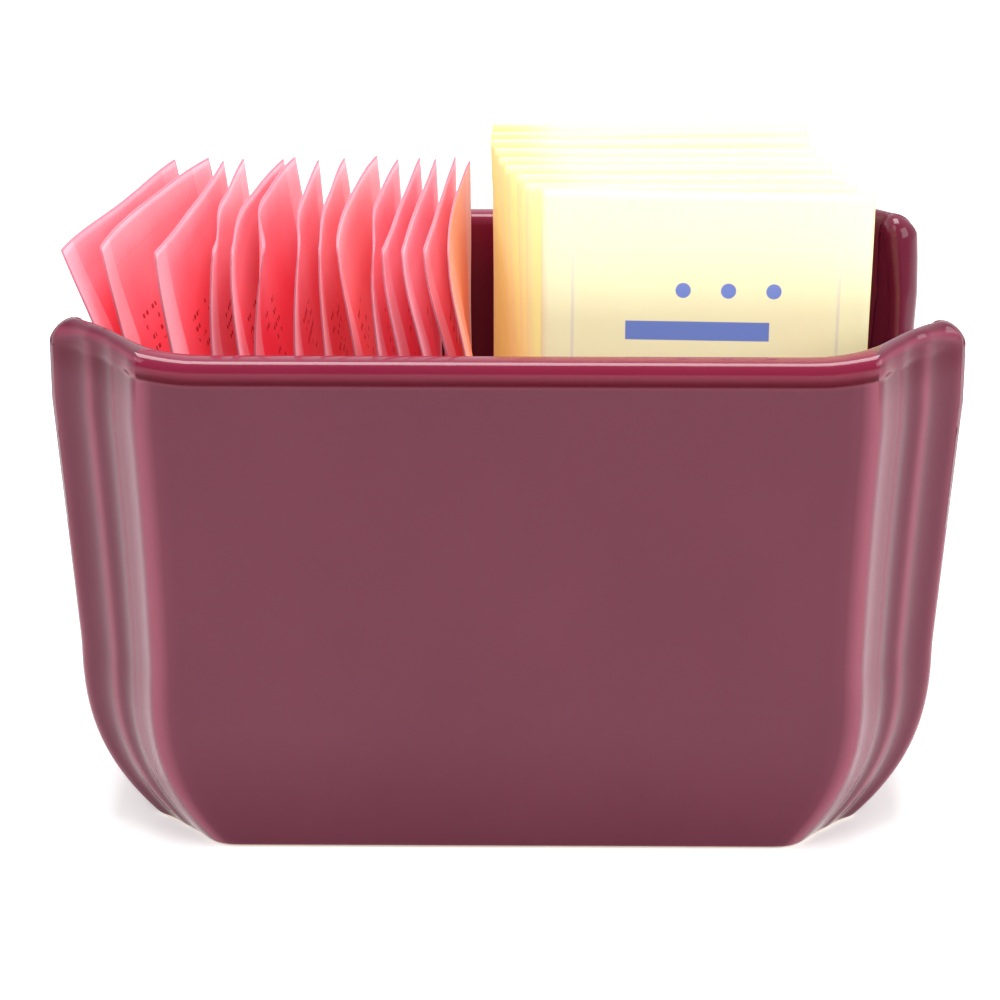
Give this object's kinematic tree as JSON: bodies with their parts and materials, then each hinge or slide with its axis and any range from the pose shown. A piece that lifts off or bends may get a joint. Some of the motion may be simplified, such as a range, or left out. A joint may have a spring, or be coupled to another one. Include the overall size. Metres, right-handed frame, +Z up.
{
  "type": "sugar packet holder",
  "caption": "Oblong glazed ceramic packet holder with fluted corners, scooped ends and a rolled rim, filled with paper sweetener packets that lift out.",
  "frame": {"origin": "middle of the holder's foot, on the table", "axes": "+X along the holder towards the yellow packets, +Y from the front to the back, +Z up"},
  "size_m": [0.12, 0.0704, 0.0884],
  "materials": {
    "glaze": "gloss claret glaze",
    "pink_paper": "matt uncoated paper",
    "yellow_paper": "matt uncoated paper"
  },
  "bodies": {
    "holder": {"holder_body": "glaze"},
    "pink_packet_01": {"pink_packet_01": "pink_paper"},
    "pink_packet_02": {"pink_packet_02": "pink_paper"},
    "pink_packet_03": {"pink_packet_03": "pink_paper"},
    "pink_packet_04": {"pink_packet_04": "pink_paper"},
    "pink_packet_05": {"pink_packet_05": "pink_paper"},
    "pink_packet_06": {"pink_packet_06": "pink_paper"},
    "pink_packet_07": {"pink_packet_07": "pink_paper"},
    "pink_packet_08": {"pink_packet_08": "pink_paper"},
    "pink_packet_09": {"pink_packet_09": "pink_paper"},
    "pink_packet_10": {"pink_packet_10": "pink_paper"},
    "pink_packet_11": {"pink_packet_11": "pink_paper"},
    "pink_packet_12": {"pink_packet_12": "pink_paper"},
    "pink_packet_13": {"pink_packet_13": "pink_paper"},
    "pink_packet_14": {"pink_packet_14": "pink_paper"},
    "yellow_packet_01": {"yellow_packet_01": "yellow_paper"},
    "yellow_packet_02": {"yellow_packet_02": "yellow_paper"},
    "yellow_packet_03": {"yellow_packet_03": "yellow_paper"},
    "yellow_packet_04": {"yellow_packet_04": "yellow_paper"},
    "yellow_packet_05": {"yellow_packet_05": "yellow_paper"},
    "yellow_packet_06": {"yellow_packet_06": "yellow_paper"},
    "yellow_packet_07": {"yellow_packet_07": "yellow_paper"},
    "yellow_packet_08": {"yellow_packet_08": "yellow_paper"},
    "yellow_packet_09": {"yellow_packet_09": "yellow_paper"}
  },
  "joints": [
    {"name": "pink_packet_01_lift", "type": "slide", "parent": "holder", "child": "pink_packet_01", "axis": [-0.1375, 0.0307, 0.99], "range_m": [0, 0.066]},
    {"name": "pink_packet_02_lift", "type": "slide", "parent": "holder", "child": "pink_packet_02", "axis": [-0.1244, 0.0317, 0.9917], "range_m": [0, 0.066]},
    {"name": "pink_packet_03_lift", "type": "slide", "parent": "holder", "child": "pink_packet_03", "axis": [-0.1144, 0.0167, 0.9933], "range_m": [0, 0.066]},
    {"name": "pink_packet_04_lift", "type": "slide", "parent": "holder", "child": "pink_packet_04", "axis": [-0.1018, 0.0084, 0.9948], "range_m": [0, 0.066]},
    {"name": "pink_packet_05_lift", "type": "slide", "parent": "holder", "child": "pink_packet_05", "axis": [-0.0876, 0.0128, 0.9961], "range_m": [0, 0.066]},
    {"name": "pink_packet_06_lift", "type": "slide", "parent": "holder", "child": "pink_packet_06", "axis": [-0.0796, 0.0096, 0.9968], "range_m": [0, 0.066]},
    {"name": "pink_packet_07_lift", "type": "slide", "parent": "holder", "child": "pink_packet_07", "axis": [-0.0676, 0.004, 0.9977], "range_m": [0, 0.066]},
    {"name": "pink_packet_08_lift", "type": "slide", "parent": "holder", "child": "pink_packet_08", "axis": [-0.0547, 0.0038, 0.9985], "range_m": [0, 0.066]},
    {"name": "pink_packet_09_lift", "type": "slide", "parent": "holder", "child": "pink_packet_09", "axis": [-0.0424, 0.0037, 0.9991], "range_m": [0, 0.066]},
    {"name": "pink_packet_10_lift", "type": "slide", "parent": "holder", "child": "pink_packet_10", "axis": [-0.0341, 0.0032, 0.9994], "range_m": [0, 0.066]},
    {"name": "pink_packet_11_lift", "type": "slide", "parent": "holder", "child": "pink_packet_11", "axis": [-0.0256, 0.0028, 0.9997], "range_m": [0, 0.066]},
    {"name": "pink_packet_12_lift", "type": "slide", "parent": "holder", "child": "pink_packet_12", "axis": [-0.0173, 0.0015, 0.9998], "range_m": [0, 0.066]},
    {"name": "pink_packet_13_lift", "type": "slide", "parent": "holder", "child": "pink_packet_13", "axis": [-0.0089, 0.0007, 1], "range_m": [0, 0.066]},
    {"name": "pink_packet_14_lift", "type": "slide", "parent": "holder", "child": "pink_packet_14", "axis": [-0.0007, 0, 1], "range_m": [0, 0.066]},
    {"name": "yellow_packet_01_lift", "type": "slide", "parent": "holder", "child": "yellow_packet_01", "axis": [-0.007, 0.0872, 0.9962], "range_m": [0, 0.074]},
    {"name": "yellow_packet_02_lift", "type": "slide", "parent": "holder", "child": "yellow_packet_02", "axis": [-0.0209, 0.0871, 0.996], "range_m": [0, 0.074]},
    {"name": "yellow_packet_03_lift", "type": "slide", "parent": "holder", "child": "yellow_packet_03", "axis": [-0.014, 0.0871, 0.9961], "range_m": [0, 0.074]},
    {"name": "yellow_packet_04_lift", "type": "slide", "parent": "holder", "child": "yellow_packet_04", "axis": [-0.007, 0.0872, 0.9962], "range_m": [0, 0.074]},
    {"name": "yellow_packet_05_lift", "type": "slide", "parent": "holder", "child": "yellow_packet_05", "axis": [-0.0052, 0.0872, 0.9962], "range_m": [0, 0.074]},
    {"name": "yellow_packet_06_lift", "type": "slide", "parent": "holder", "child": "yellow_packet_06", "axis": [-0.0105, 0.0872, 0.9961], "range_m": [0, 0.074]},
    {"name": "yellow_packet_07_lift", "type": "slide", "parent": "holder", "child": "yellow_packet_07", "axis": [-0.0052, 0.0872, 0.9962], "range_m": [0, 0.074]},
    {"name": "yellow_packet_08_lift", "type": "slide", "parent": "holder", "child": "yellow_packet_08", "axis": [-0.0035, 0.0872, 0.9962], "range_m": [0, 0.074]},
    {"name": "yellow_packet_09_lift", "type": "slide", "parent": "holder", "child": "yellow_packet_09", "axis": [0.014, 0.0871, 0.9961], "range_m": [0, 0.074]}
  ]
}
